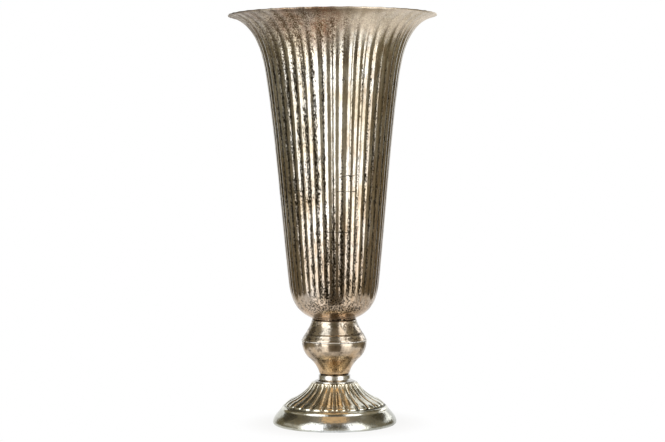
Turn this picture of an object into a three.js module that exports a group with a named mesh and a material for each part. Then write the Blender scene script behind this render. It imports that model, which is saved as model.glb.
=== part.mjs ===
import * as THREE from "three";

// Goblet vase in antiqued silver plate: a fluted trumpet bowl on a spun knop, a collar and a fluted
// bell foot, all drawn together by one threaded rod. Millimetres, +Z up, the table at z = 0.

// Joints between the pieces
const SEAT_GAP = 0.3; // hairline between pieces that the rod clamps face to face
const ROD_CLEARANCE = 0.4; // rod to each hole that it passes through
const THREAD_CLEARANCE = 0.3; // rod to the bore of each nut

// Tie rod, nuts and washers
const ROD_RADIUS = 4;
const ROD_CHAMFER = 0.8;
const ROD_END = 2.5; // rod that stands past each nut
const NUT_FLATS = 13;
const NUT_HEIGHT = 6.5;
const SEAL_RADIUS = 13;
const SEAL_HEIGHT = 2.5;
const BOWL_WASHER_RADIUS = 12;
const BOWL_WASHER_HEIGHT = 1.6;
const FOOT_WASHER_RADIUS = 15;
const FOOT_WASHER_HEIGHT = 2;
const LOCK_WASHER_RADIUS = 7.4;
const LOCK_WASHER_HEIGHT = 2;
const LOCK_WASHER_SPLIT = 16; // degrees

// Foot
const FOOT_HEIGHT = 42;
const FOOT_RADIUS = 62.5;
const FOOT_WALL = 1.5;
const FOOT_TOP_RADIUS = 22.6;
const FOOT_HEM_WIDTH = 4.5; // flat ring that stands on the table
const FOOT_BORDER_WIDTH = 8.5; // rounded border, measured inward from the widest radius
const FOOT_BORDER_HEIGHT = 15.2; // top of the rounded border above the table
const FOOT_LEDGE_WIDTH = 2.6; // sloping ledge above the border
const FOOT_LEDGE_RISE = 2.7;
const FOOT_STEP_RISE = 1.9; // upright step between the ledge and the ends of the flutes
const FOOT_STEP_WIDTH = 0.8;
const FOOT_BULGE_WIDTH = 8.6; // swollen lower end of each flute
const FOOT_BULGE_RISE = 5.6;
const FOOT_FLUTES = 26;
const FOOT_FLUTE_DEPTH_TOP = 0.7;
const FOOT_FLUTE_DEPTH_END = 1.4;

// Collar
const COLLAR_RADIUS = 16;
const COLLAR_HEIGHT = 7.7;
const COLLAR_SKIRT_RADIUS = 20; // spread lower edge
const COLLAR_SKIRT_HEIGHT = 4.4;
const COLLAR_EDGE = 0.9; // rounding of the upper edge

// Knop, in two shells that lap at the bead
const KNOP_WALL = 1.2;
const KNOP_FIT = 0.3; // spigot of the lower shell to the bead of the upper one
const KNOP_WAIST_RADIUS = 15.3;
const KNOP_BEAD_RADIUS = 33;
const KNOP_BEAD_HEIGHT = 1.2;
const KNOP_BEAD_STEP = 0.8; // bead to the flank above it
const KNOP_OVERHANG = 0.3; // bead beyond the lower shell
const SPIGOT_RELIEF = 0.4; // top of the spigot below the top of the bead
const LOWER_KNOP_HEIGHT = 33.3;
const LOWER_KNOP_TURN_RADIUS = 26.2; // where the belly turns from full to hollow
const LOWER_KNOP_TURN_HEIGHT = 17;
const UPPER_KNOP_HEIGHT = 21.7;
const UPPER_KNOP_RADIUS = 22.8;

// Bowl
const BOWL_WALL = 1.2;
const BOWL_HEIGHT = 303.7;
const BOWL_NECK_RADIUS = 22.2;
const BOWL_NECK_HEIGHT = 1;
const BOWL_BELLY_RADIUS = 45.4;
const BOWL_BELLY_HEIGHT = 36.6;
const BOWL_BELLY_LEAN = 0.107; // radius gained for each millimetre of height
const BOWL_SHOULDER_RADIUS = 65.9;
const BOWL_SHOULDER_HEIGHT = 238.7;
const BOWL_SHOULDER_LEAN = 0.141;
const BOWL_RIM_RADIUS = 104.5;
const BOWL_LIP_ANGLE = 10.5; // degrees above level at the rim
const BOWL_ROUND_ANGLE = 22; // degrees above level where the round bottom leaves the neck
const BOWL_FLUTES = 42;
const BOWL_FLUTE_START = 19.7; // lower ends of the flutes above the neck's seat
const BOWL_FLUTE_FADE = 14;
const BOWL_FLUTE_DEPTH_BELLY = 0.35;
const BOWL_FLUTE_DEPTH_SHOULDER = 0.9;
const BOWL_FLUTE_DEPTH_RIM = 0.3;

// Fineness of the round pieces
const TURNED_SIDES = 36;
const BOLT_SIDES = 24;

// Heights of the stack, from the table up
const footTop = FOOT_HEIGHT;
const collarSeat = footTop + SEAT_GAP;
const lowerKnopSeat = collarSeat + COLLAR_HEIGHT + SEAT_GAP;
const knopSeam = lowerKnopSeat + LOWER_KNOP_HEIGHT;
const upperKnopSeat = knopSeam + SEAT_GAP;
const bowlSeat = upperKnopSeat + UPPER_KNOP_HEIGHT + SEAT_GAP;
const holeRadius = ROD_RADIUS + ROD_CLEARANCE;

// Outlines are lists of (radius, height) points that run with the outside of the piece on their right.
const at = (radius, height) => new THREE.Vector2(radius, height);

function bezier(start, startHandle, endHandle, end, steps) {
  return new THREE.CubicBezierCurve(start, startHandle, endHandle, end).getPoints(steps);
}

// Outward normal at each outline point, lengthened at corners so that an offset keeps the wall's thickness.
function outlineNormals(outline) {
  const right = (from, to) => at(to.y - from.y, from.x - to.x).normalize();
  return outline.map((point, index) => {
    const before = outline[index - 1];
    const after = outline[index + 1];
    const first = before ? right(before, point) : right(point, after);
    const second = after ? right(point, after) : first;
    const middle = first.clone().add(second).normalize();
    return middle.divideScalar(middle.dot(first));
  });
}

// Closed section of a sheet-metal shell: the outline outside, and its offset by one wall inside.
function shellSection(outline, wall) {
  const normals = outlineNormals(outline);
  const inner = outline.map((point, index) => point.clone().addScaledVector(normals[index], -wall));
  return [...outline, ...inner.reverse(), outline[0]];
}

function turned(section, sides) {
  const geometry = new THREE.LatheGeometry(section, sides);
  geometry.rotateX(Math.PI / 2);
  return geometry;
}

// Share of the flute depth at a place across one flute: 1 in the narrow groove at 0, 0 on the crest at 0.5.
function fluteShape(place) {
  const fromCrest = Math.abs(place - 0.5);
  if (fromCrest < 0.375) {
    return fromCrest * fromCrest / 0.1875;
  }
  return 1 - (0.5 - fromCrest) * (0.5 - fromCrest) / 0.0625;
}

// Sheet-metal shell whose surface ripples inward between convex flutes; a groove faces the front, at -Y.
function flutedShell(outline, wall, flutes, places, depthAt) {
  const normals = outlineNormals(outline);
  const outer = outline.map((point, index) => {
    return { point, normal: normals[index], depth: depthAt(point), inset: 0 };
  });
  const inner = outer.map((ring) => ({ ...ring, inset: wall })).reverse();
  const rings = [...outer, ...inner];

  const positions = [];
  for (let flute = 0; flute < flutes; flute += 1) {
    for (const place of places) {
      const angle = (flute + place) / flutes * 2 * Math.PI - Math.PI / 2;
      for (const { point, normal, depth, inset } of rings) {
        const inward = inset + depth * fluteShape(place);
        const radius = point.x - normal.x * inward;
        const height = point.y - normal.y * inward;
        positions.push(radius * Math.cos(angle), radius * Math.sin(angle), height);
      }
    }
  }

  const columns = flutes * places.length;
  const rows = rings.length;
  const indices = [];
  for (let column = 0; column < columns; column += 1) {
    const next = (column + 1) % columns;
    const towardCrest = places[column % places.length] < 0.5;
    for (let row = 0; row < rows; row += 1) {
      const above = (row + 1) % rows;
      const a = column * rows + row;
      const b = next * rows + row;
      const c = next * rows + above;
      const d = column * rows + above;
      if (towardCrest) {
        indices.push(a, b, d, b, c, d);
      } else {
        indices.push(a, b, c, a, c, d);
      }
    }
  }
  const geometry = new THREE.BufferGeometry();
  geometry.setAttribute("position", new THREE.Float32BufferAttribute(positions, 3));
  geometry.setIndex(indices);
  return geometry;
}

// Bell foot: hem, rounded border, ledge and step, then the flutes up to the flat top and the rod hole.
function footGeometry() {
  const borderRadius = FOOT_RADIUS - FOOT_BORDER_WIDTH;
  const ledgeRadius = borderRadius - FOOT_LEDGE_WIDTH;
  const ledgeHeight = FOOT_BORDER_HEIGHT + FOOT_LEDGE_RISE;
  const endRadius = ledgeRadius - FOOT_STEP_WIDTH;
  const endHeight = ledgeHeight + FOOT_STEP_RISE;
  const bulgeRadius = endRadius - FOOT_BULGE_WIDTH;
  const bulgeHeight = endHeight + FOOT_BULGE_RISE;
  const hemRadius = FOOT_RADIUS - FOOT_WALL;
  const neckHeight = FOOT_HEIGHT - FOOT_WALL;
  const span = bulgeRadius - FOOT_TOP_RADIUS;
  const rise = neckHeight - bulgeHeight;

  const border = bezier(
    at(FOOT_RADIUS, FOOT_WALL),
    at(FOOT_RADIUS, FOOT_WALL + (FOOT_BORDER_HEIGHT - FOOT_WALL) * 0.4),
    at(borderRadius + FOOT_BORDER_WIDTH * 0.5, FOOT_BORDER_HEIGHT * 0.7),
    at(borderRadius, FOOT_BORDER_HEIGHT),
    3,
  );
  const bulge = bezier(
    at(endRadius, endHeight),
    at(endRadius - FOOT_BULGE_WIDTH * 0.1, endHeight + FOOT_BULGE_RISE * 0.4),
    at(endRadius - FOOT_BULGE_WIDTH * 0.45, endHeight + FOOT_BULGE_RISE * 0.75),
    at(bulgeRadius, bulgeHeight),
    3,
  );
  const flank = bezier(
    at(bulgeRadius, bulgeHeight),
    at(bulgeRadius - span * 0.21, bulgeHeight + rise * 0.12),
    at(bulgeRadius - span * 0.66, bulgeHeight + rise * 0.48),
    at(FOOT_TOP_RADIUS + FOOT_WALL, neckHeight),
    4,
  );
  const outline = [
    at(hemRadius - FOOT_HEM_WIDTH, 0),
    at(hemRadius, 0),
    ...border,
    at(ledgeRadius, ledgeHeight),
    ...bulge,
    ...flank.slice(1),
    at(FOOT_TOP_RADIUS, FOOT_HEIGHT),
    at(holeRadius, FOOT_HEIGHT),
  ];
  const depthAt = (point) => {
    if (point.y <= endHeight || point.y >= FOOT_HEIGHT) {
      return 0;
    }
    const share = (point.x - FOOT_TOP_RADIUS) / (endRadius - FOOT_TOP_RADIUS);
    return THREE.MathUtils.lerp(FOOT_FLUTE_DEPTH_TOP, FOOT_FLUTE_DEPTH_END, share);
  };
  return flutedShell(outline, FOOT_WALL, FOOT_FLUTES, [0, 0.3, 0.7], depthAt);
}

function collarGeometry() {
  const top = collarSeat + COLLAR_HEIGHT;
  const waist = collarSeat + COLLAR_SKIRT_HEIGHT;
  const spread = bezier(
    at(COLLAR_SKIRT_RADIUS, collarSeat + COLLAR_SKIRT_HEIGHT * 0.25),
    at(COLLAR_RADIUS + (COLLAR_SKIRT_RADIUS - COLLAR_RADIUS) * 0.4, collarSeat + COLLAR_SKIRT_HEIGHT * 0.35),
    at(COLLAR_RADIUS, collarSeat + COLLAR_SKIRT_HEIGHT * 0.6),
    at(COLLAR_RADIUS, waist),
    3,
  );
  const section = [
    at(holeRadius, collarSeat),
    at(COLLAR_SKIRT_RADIUS, collarSeat),
    ...spread,
    at(COLLAR_RADIUS, top - COLLAR_EDGE),
    at(COLLAR_RADIUS - COLLAR_EDGE, top),
    at(holeRadius, top),
    at(holeRadius, collarSeat),
  ];
  return turned(section, TURNED_SIDES);
}

// Lower knop shell: flat seat on the collar, narrow waist, full belly, and a spigot joggled in at the seam.
function lowerKnopGeometry() {
  const seamRadius = KNOP_BEAD_RADIUS - KNOP_OVERHANG;
  const spigotRadius = KNOP_BEAD_RADIUS - KNOP_WALL - KNOP_FIT;
  const spigotTop = knopSeam + KNOP_BEAD_HEIGHT - SPIGOT_RELIEF;
  const turn = at(LOWER_KNOP_TURN_RADIUS, lowerKnopSeat + LOWER_KNOP_TURN_HEIGHT);
  const waist = at(KNOP_WAIST_RADIUS, lowerKnopSeat + KNOP_WALL);
  const hollow = bezier(
    waist,
    at(waist.x + (turn.x - waist.x) * 0.13, waist.y + (turn.y - waist.y) * 0.38),
    at(waist.x + (turn.x - waist.x) * 0.52, waist.y + (turn.y - waist.y) * 0.74),
    turn,
    4,
  );
  const belly = bezier(
    turn,
    at(turn.x + (seamRadius - turn.x) * 0.68, turn.y + (knopSeam - turn.y) * 0.27),
    at(seamRadius, turn.y + (knopSeam - turn.y) * 0.66),
    at(seamRadius, knopSeam),
    4,
  );
  const outline = [
    at(holeRadius, lowerKnopSeat),
    at(KNOP_WAIST_RADIUS - KNOP_WALL, lowerKnopSeat),
    ...hollow,
    ...belly.slice(1),
    at(spigotRadius, knopSeam),
    at(spigotRadius, spigotTop),
  ];
  return turned(shellSection(outline, KNOP_WALL), TURNED_SIDES);
}

// Upper knop shell: bead over the seam, hollow flank, rounded top edge and the flat seat of the bowl.
function upperKnopGeometry() {
  const top = upperKnopSeat + UPPER_KNOP_HEIGHT;
  const beadTop = upperKnopSeat + KNOP_BEAD_HEIGHT;
  const start = at(KNOP_BEAD_RADIUS - KNOP_BEAD_STEP, beadTop + KNOP_BEAD_STEP);
  const end = at(UPPER_KNOP_RADIUS, top - KNOP_WALL);
  const flank = bezier(
    start,
    at(start.x + (end.x - start.x) * 0.32, start.y + (end.y - start.y) * 0.31),
    at(start.x + (end.x - start.x) * 0.92, start.y + (end.y - start.y) * 0.69),
    end,
    5,
  );
  const outline = [
    at(KNOP_BEAD_RADIUS, upperKnopSeat),
    at(KNOP_BEAD_RADIUS, beadTop),
    ...flank,
    at(UPPER_KNOP_RADIUS - KNOP_WALL, top),
    at(holeRadius, top),
  ];
  return turned(shellSection(outline, KNOP_WALL), TURNED_SIDES);
}

// Trumpet bowl: floor with the rod hole, short neck, smooth round bottom, reeded wall and out-turned lip.
function bowlGeometry() {
  const round = THREE.MathUtils.degToRad(BOWL_ROUND_ANGLE);
  const lip = THREE.MathUtils.degToRad(BOWL_LIP_ANGLE);
  const neck = at(BOWL_NECK_RADIUS, bowlSeat + BOWL_NECK_HEIGHT);
  const belly = at(BOWL_BELLY_RADIUS, bowlSeat + BOWL_BELLY_HEIGHT);
  const shoulder = at(BOWL_SHOULDER_RADIUS, bowlSeat + BOWL_SHOULDER_HEIGHT);
  const rim = at(BOWL_RIM_RADIUS, bowlSeat + BOWL_HEIGHT);

  const roundReach = (belly.x - neck.x) * 0.65;
  const roundDrop = (belly.y - neck.y) * 0.5;
  const bodyReach = (shoulder.y - belly.y) * 0.295;
  const flareRise = (rim.y - shoulder.y) * 0.39;
  const flareReach = (rim.x - shoulder.x) * 0.745;

  const bottom = bezier(
    neck,
    at(neck.x + roundReach, neck.y + roundReach * Math.tan(round)),
    at(belly.x - roundDrop * BOWL_BELLY_LEAN, belly.y - roundDrop),
    belly,
    4,
  );
  const body = bezier(
    belly,
    at(belly.x + bodyReach * BOWL_BELLY_LEAN, belly.y + bodyReach),
    at(shoulder.x - bodyReach * BOWL_SHOULDER_LEAN, shoulder.y - bodyReach),
    shoulder,
    3,
  );
  const flare = bezier(
    shoulder,
    at(shoulder.x + flareRise * BOWL_SHOULDER_LEAN, shoulder.y + flareRise),
    at(rim.x - flareReach, rim.y - flareReach * Math.tan(lip)),
    rim,
    6,
  );
  const outline = [
    at(holeRadius, bowlSeat),
    at(BOWL_NECK_RADIUS, bowlSeat),
    ...bottom,
    ...body.slice(1),
    ...flare.slice(1),
  ];
  const depthAt = (point) => {
    const fluteFoot = bowlSeat + BOWL_FLUTE_START;
    const rise = THREE.MathUtils.smoothstep(point.y, fluteFoot, fluteFoot + BOWL_FLUTE_FADE);
    if (point.y < shoulder.y) {
      const share = (point.x - belly.x) / (shoulder.x - belly.x);
      return rise * THREE.MathUtils.lerp(BOWL_FLUTE_DEPTH_BELLY, BOWL_FLUTE_DEPTH_SHOULDER, share);
    }
    const share = (point.x - shoulder.x) / (rim.x - shoulder.x);
    return rise * THREE.MathUtils.lerp(BOWL_FLUTE_DEPTH_SHOULDER, BOWL_FLUTE_DEPTH_RIM, share);
  };
  return flutedShell(outline, BOWL_WALL, BOWL_FLUTES, [0, 0.3, 0.7], depthAt);
}

function rodGeometry(bottom, top) {
  const section = [
    at(0, bottom),
    at(ROD_RADIUS - ROD_CHAMFER, bottom),
    at(ROD_RADIUS, bottom + ROD_CHAMFER),
    at(ROD_RADIUS, top - ROD_CHAMFER),
    at(ROD_RADIUS - ROD_CHAMFER, top),
    at(0, top),
  ];
  return turned(section, BOLT_SIDES);
}

function washerGeometry(radius, height) {
  const section = [
    at(holeRadius, 0),
    at(radius, 0),
    at(radius, height),
    at(holeRadius, height),
    at(holeRadius, 0),
  ];
  return turned(section, TURNED_SIDES);
}

function lockWasherGeometry() {
  const half = THREE.MathUtils.degToRad(LOCK_WASHER_SPLIT) / 2;
  const shape = new THREE.Shape();
  shape.absarc(0, 0, LOCK_WASHER_RADIUS, half, 2 * Math.PI - half, false);
  shape.absarc(0, 0, holeRadius, 2 * Math.PI - half, half, true);
  const settings = { depth: LOCK_WASHER_HEIGHT, bevelEnabled: false, curveSegments: BOLT_SIDES };
  return new THREE.ExtrudeGeometry(shape, settings);
}

function nutGeometry() {
  const corner = NUT_FLATS / Math.sqrt(3);
  const corners = [0, 1, 2, 3, 4, 5].map((side) => {
    const angle = side * Math.PI / 3;
    return new THREE.Vector2(corner * Math.cos(angle), corner * Math.sin(angle));
  });
  const shape = new THREE.Shape(corners);
  const bore = new THREE.Path();
  bore.absarc(0, 0, ROD_RADIUS + THREAD_CLEARANCE, 0, 2 * Math.PI, true);
  shape.holes.push(bore);
  const settings = { depth: NUT_HEIGHT, bevelEnabled: false, curveSegments: BOLT_SIDES / 2 };
  return new THREE.ExtrudeGeometry(shape, settings);
}

const finishes = {
  antiquePlate: { color: "#b3a896", roughness: 0.34, metalness: 1 },
  brightPlate: { color: "#cfccc4", roughness: 0.2, metalness: 1 },
  zincSteel: { color: "#a9abad", roughness: 0.38, metalness: 1 },
  blackRubber: { color: "#1d1d1c", roughness: 0.75, metalness: 0 },
};

const vase = new THREE.Group();

function addPiece(name, geometry, finish, height = 0) {
  const piece = new THREE.Mesh(geometry, new THREE.MeshStandardMaterial(finish));
  piece.name = name;
  piece.position.z = height;
  vase.add(piece);
}

addPiece("foot", footGeometry(), finishes.antiquePlate);
addPiece("collar", collarGeometry(), finishes.brightPlate);
addPiece("lower_knop", lowerKnopGeometry(), finishes.antiquePlate);
addPiece("upper_knop", upperKnopGeometry(), finishes.antiquePlate);
addPiece("bowl", bowlGeometry(), finishes.antiquePlate);

// Fastenings stack up from the bowl's floor and down from the underside of the foot's flat top.
const sealSeat = bowlSeat + BOWL_WALL + SEAT_GAP;
const bowlWasherSeat = sealSeat + SEAL_HEIGHT + SEAT_GAP;
const bowlNutSeat = bowlWasherSeat + BOWL_WASHER_HEIGHT + SEAT_GAP;
const rodTop = bowlNutSeat + NUT_HEIGHT + ROD_END;
const bowlSeal = washerGeometry(SEAL_RADIUS, SEAL_HEIGHT);
const bowlWasher = washerGeometry(BOWL_WASHER_RADIUS, BOWL_WASHER_HEIGHT);
addPiece("bowl_seal", bowlSeal, finishes.blackRubber, sealSeat);
addPiece("bowl_washer", bowlWasher, finishes.zincSteel, bowlWasherSeat);
addPiece("bowl_nut", nutGeometry(), finishes.zincSteel, bowlNutSeat);

const footWasherSeat = footTop - FOOT_WALL - SEAT_GAP - FOOT_WASHER_HEIGHT;
const lockWasherSeat = footWasherSeat - SEAT_GAP - LOCK_WASHER_HEIGHT;
const footNutSeat = lockWasherSeat - SEAT_GAP - NUT_HEIGHT;
const rodBottom = footNutSeat - ROD_END;
const footWasher = washerGeometry(FOOT_WASHER_RADIUS, FOOT_WASHER_HEIGHT);
addPiece("foot_washer", footWasher, finishes.zincSteel, footWasherSeat);
addPiece("foot_lock_washer", lockWasherGeometry(), finishes.zincSteel, lockWasherSeat);
addPiece("foot_nut", nutGeometry(), finishes.zincSteel, footNutSeat);
addPiece("tie_rod", rodGeometry(rodBottom, rodTop), finishes.zincSteel);

export default vase;
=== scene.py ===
import math

import bpy
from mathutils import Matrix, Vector


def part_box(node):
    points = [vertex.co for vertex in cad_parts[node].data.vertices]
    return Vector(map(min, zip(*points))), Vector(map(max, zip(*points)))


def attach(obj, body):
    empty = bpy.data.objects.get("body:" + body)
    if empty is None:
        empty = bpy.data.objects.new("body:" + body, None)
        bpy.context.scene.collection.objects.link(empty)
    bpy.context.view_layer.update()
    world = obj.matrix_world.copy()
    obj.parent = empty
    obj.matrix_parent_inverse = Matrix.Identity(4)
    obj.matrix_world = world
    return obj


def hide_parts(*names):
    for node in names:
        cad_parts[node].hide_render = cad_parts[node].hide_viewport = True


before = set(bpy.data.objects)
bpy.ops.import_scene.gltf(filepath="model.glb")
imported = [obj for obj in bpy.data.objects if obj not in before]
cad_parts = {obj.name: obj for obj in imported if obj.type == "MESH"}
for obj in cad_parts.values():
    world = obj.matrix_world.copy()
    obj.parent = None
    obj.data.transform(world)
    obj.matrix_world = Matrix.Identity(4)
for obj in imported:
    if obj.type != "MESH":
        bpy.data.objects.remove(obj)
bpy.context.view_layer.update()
scene = bpy.context.scene
scene.view_settings.view_transform = "Standard"
mm = 0.001
print("frame loaded, nodes:", len(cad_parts))


def linear(hexColour):
    channels = [int(hexColour[i:i + 2], 16) / 255 for i in (1, 3, 5)]
    return [c / 12.92 if c <= 0.04045 else ((c + 0.055) / 1.055) ** 2.4 for c in channels] + [1.0]


# texture scale whose features are about this many millimetres across
def grain(millimetres):
    return 1 / (millimetres * mm)


# Adds one node: settings are its properties, a list fills its open inputs in order and a dictionary by name or number.
# A colour may be a hex value, and a kind without the word Node is a shader node.
def addNode(tree, kind, inputs=(), **settings):
    node = tree.nodes.new(kind if "Node" in kind else "ShaderNode" + kind)
    for name, value in settings.items():
        setattr(node, name, value)
    if not isinstance(inputs, dict):
        inputs = dict(zip([i for i, socket in enumerate(node.inputs) if socket.enabled], inputs))
    for key, value in inputs.items():
        if isinstance(value, bpy.types.Node):
            value = next(output for output in value.outputs if output.enabled)
        if isinstance(value, bpy.types.NodeSocket):
            tree.links.new(value, node.inputs[key])
        else:
            isColour = isinstance(value, str) and value.startswith("#")
            node.inputs[key].default_value = linear(value) if isColour else value
    return node


def newMaterial(name):
    material = bpy.data.materials.new(name)
    material.use_nodes = True
    material.node_tree.nodes.clear()
    return material, material.node_tree


# camera and studio

photoView = {"lens": 95.0, "sensorWidth": 36, "place": (-0.0007, -1.764, 0.275), "down": 2.291, "roll": 0.33}

cameraData = bpy.data.cameras.new("photoCamera")
cameraData.lens = photoView["lens"]
cameraData.sensor_width = photoView["sensorWidth"]
camera = bpy.data.objects.new("photoCamera", cameraData)
camera.location = photoView["place"]
camera.rotation_euler = (math.radians(90 - photoView["down"]), math.radians(photoView["roll"]), 0)
scene.collection.objects.link(camera)
scene.camera = camera

# Softboxes stand left and right of the camera, weaker below the table, with a small one at the back right. Cards close
# the gaps between them, and the ceiling is open over the back right. Softboxes and cards give degrees round from the
# camera to the right (from, to), then metres: away from the vase, low edge and high edge.
studio = {
    "softboxes": {  # and the level of light
        "softboxLeft": (-67, -22, 1.6, -0.45, 2.4, 1.6),
        "softboxRight": (26, 64, 1.6, -0.45, 2.4, 1.6),
        "softboxLeftLow": (-67, -22, 1.6, -2.4, -0.45, 0.7),
        "softboxRightLow": (26, 64, 1.6, -2.4, -0.45, 0.7),
        "softboxBack": (124, 148, 1.7, 0.4, 0.8, 1.2),
    },
    "cards": {  # and the colour
        "cardCameraHigh": (-23, 28, 2.4, 0.7, 2.6, "#8d846c"),
        "cardCamera": (-23, 28, 2.4, -0.36, 0.7, "#dcd4bf"),
        "cardCameraLow": (-23, 28, 2.4, -4.0, -0.36, "#988c78"),
        "cardLeft": (-112, -68, 1.7, -0.55, 2.6, "#aca48e"),
        "cardBackLeft": (-140, -112, 1.7, -0.55, 0.75, "#8f866c"),
        "cardBackLeftHigh": (-168, -112, 1.7, 0.75, 2.6, "#5f594c"),
        "stripLeft": (-108, -68, 1.6, 0.25, 0.75, "#f6f2e8"),
        "stripRight": (65, 82, 1.6, 0.25, 0.75, "#f6f2e8"),
        "cardRight": (65, 112, 1.7, -0.55, 2.6, "#b8b09a"),
        "cardBackRight": (112, 140, 1.7, -0.55, 0.4, "#8f866c"),
        "cardBackRightHigh": (112, 142, 1.7, 0.8, 2.6, "#6f6854"),
    },
    "ceilings": {  # left, right, front, back, height and colour
        "cardCeilingFront": (-2.6, 2.6, -2.6, 0.3, 2.7, "#a79d8b"),
        "cardCeilingBack": (-2.6, 0.15, 0.3, 2.6, 2.7, "#b3a997"),
        "cardWarm": (-0.7, 0.7, -1.1, 0.1, 2.4, "#ffd29a"),
    },
    "tableRadius": 0.11, "tableSides": 64, "tableColour": "#ecebe8",
    "shadowRadius": 0.062, "shadowWhite": 0.88, "whiteFrom": 0.97,  # a share of the table's radius
    "ambient": 0.6,
}


def aroundVase(degrees, away, height):
    turn = math.radians(degrees)
    return Vector((away * math.sin(turn), -away * math.cos(turn), height))


for name, (start, end, away, low, high, level) in studio["softboxes"].items():
    middle, width, height = (start + end) / 2, 2 * away * math.tan(math.radians(end - start) / 2), high - low
    lamp = bpy.data.lights.new(name, "AREA")
    lamp.shape = "RECTANGLE"
    lamp.size, lamp.size_y = width, height
    lamp.energy = level * math.pi * width * height
    softbox = bpy.data.objects.new(name, lamp)
    softbox.location = aroundVase(middle, away, (high + low) / 2)
    softbox.rotation_euler = (math.radians(90), 0, math.radians(middle))
    softbox.visible_camera = False
    scene.collection.objects.link(softbox)

cards = []
for name, (start, end, away, low, high, colour) in studio["cards"].items():
    middle = (start + end) / 2
    side = aroundVase(middle + 90, away * math.tan(math.radians(end - start) / 2), 0)
    below, above = aroundVase(middle, away, low), aroundVase(middle, away, high)
    cards.append((name, colour, [below - side, below + side, above + side, above - side]))
for name, (left, right, front, back, height, colour) in studio["ceilings"].items():
    plan = ((left, front), (right, front), (right, back), (left, back))
    cards.append((name, colour, [(x, y, height) for x, y in plan]))

for name, colour, corners in cards:
    paper, tree = newMaterial(name + "Paper")
    addNode(tree, "OutputMaterial", [addNode(tree, "BsdfDiffuse", [colour])])
    mesh = bpy.data.meshes.new(name)
    mesh.from_pydata(corners, [], [(0, 1, 2, 3)])
    mesh.materials.append(paper)
    sheet = bpy.data.objects.new(name, mesh)
    sheet.visible_camera = False
    scene.collection.objects.link(sheet)


# 1 for rays that see the white itself: from the camera, off metal or through glass
def seenRays(tree):
    rays = addNode(tree, "LightPath").outputs
    seen = rays["Is Camera Ray"]
    for kind in ("Is Glossy Ray", "Is Transmission Ray"):
        seen = addNode(tree, "Math", [seen, rays[kind]], operation="MAXIMUM")
    return seen


# round white table top: shows the shadow near the foot and runs out to pure white at its edge
tableTop, tree = newMaterial("matteWhiteTable")
reach = addNode(tree, "VectorMath", [addNode(tree, "TexCoord").outputs["Object"]], operation="LENGTH")
fade = addNode(tree, "MapRange", [reach, studio["shadowRadius"], studio["tableRadius"] * studio["whiteFrom"],
                                  studio["shadowWhite"], 1.0], interpolation_type="SMOOTHSTEP")
whiteShare = addNode(tree, "Math", [seenRays(tree), fade], operation="MULTIPLY")
matte = addNode(tree, "BsdfDiffuse", [studio["tableColour"]])
white = addNode(tree, "Emission", ["#ffffff", 1.0])
addNode(tree, "OutputMaterial", [addNode(tree, "MixShader", [whiteShare, matte, white])])

tableMesh = bpy.data.meshes.new("roundTable")
turns = [i / studio["tableSides"] * math.tau for i in range(studio["tableSides"])]
edge = [(studio["tableRadius"] * math.cos(turn), studio["tableRadius"] * math.sin(turn), 0) for turn in turns]
tableMesh.from_pydata(edge, [], [tuple(range(len(edge)))])
tableMesh.materials.append(tableTop)
table = bpy.data.objects.new("roundTable", tableMesh)
scene.collection.objects.link(table)

world = bpy.data.worlds.new("whiteStudio")
world.use_nodes = True
scene.world = world
tree = world.node_tree
tree.nodes.clear()
strength = addNode(tree, "MapRange", [seenRays(tree), 0.0, 1.0, studio["ambient"], 1.0])
addNode(tree, "OutputWorld", [addNode(tree, "Background", ["#ffffff", strength])])


# materials: a noise takes its place, scale, detail and roughness, a ramp its value, from, to, and what it gives there

def openFinish(name):
    material, tree = newMaterial(name)
    return material, tree, addNode(tree, "TexCoord").outputs["Object"]


# what a plated finish goes by: the places across and up, the way from the middle, and the groove value
def plateInputs(tree, spot):
    axes = addNode(tree, "SeparateXYZ", [spot]).outputs
    fromMiddle = addNode(tree, "Math", [axes["X"]], operation="ABSOLUTE")
    grooved = addNode(tree, "Attribute", attribute_name="groove").outputs["Fac"]
    return axes["X"], axes["Z"], fromMiddle, grooved


# patches of a noise, which ramps shift to more or less of them
def patches(tree, noise, spread, *shifts):
    value = addNode(tree, "TexNoise", noise)
    for shift in shifts:
        value = addNode(tree, "Math", [value, addNode(tree, "MapRange", shift)], operation="ADD")
    return addNode(tree, "MapRange", [value, *spread])


# several ramps, each weakening the ones before it
def overlap(tree, *ramps, **settings):
    shares = [addNode(tree, "MapRange", ramp, **settings) for ramp in ramps]
    for share in shares[1:]:
        shares[0] = addNode(tree, "Math", [shares[0], share], operation="MULTIPLY")
    return shares[0]


# tints laid over a colour one after another, each by its share
def tinted(tree, colour, *tints):
    for share, tint in tints:
        colour = addNode(tree, "Mix", [share, colour, tint], data_type="RGBA")
    return colour


# reliefs are pairs of a depth in millimetres and a pattern, laid one over the other
def closeFinish(tree, colour, gloss, reliefs, metallic=1.0):
    normal = {}
    for depth, pattern in reliefs:
        normal = {"Normal": addNode(tree, "Bump", {"Distance": depth * mm, "Height": pattern, **normal})}
    shader = addNode(tree, "BsdfPrincipled", {"Base Color": colour, "Metallic": metallic, "Roughness": gloss, **normal})
    addNode(tree, "OutputMaterial", [shader])


# Antiqued silver plate on spun brass: a clear mirror broken by pits and specks of dark oxide on the left, smoother and
# browner on the right, brown towards the lip and copper low down.
bowlPlate, tree, spot = openFinish("antiquedSilverPlate")
across, up, fromMiddle, grooved = plateInputs(tree, spot)
toneShare = patches(tree, (spot, grain(42), 3.0), (0.38, 0.64))
# streaks run down the reeds, thicker on the right
hung = addNode(tree, "Mapping", {"Vector": spot, "Scale": (1, 1, 0.07)})
streakShare = patches(tree, (hung, grain(3.2), 4.0, 0.75), (0.50, 0.70, 0.0, 0.8), (across, 0.0, 0.055, 0.0, 0.16))
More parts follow.
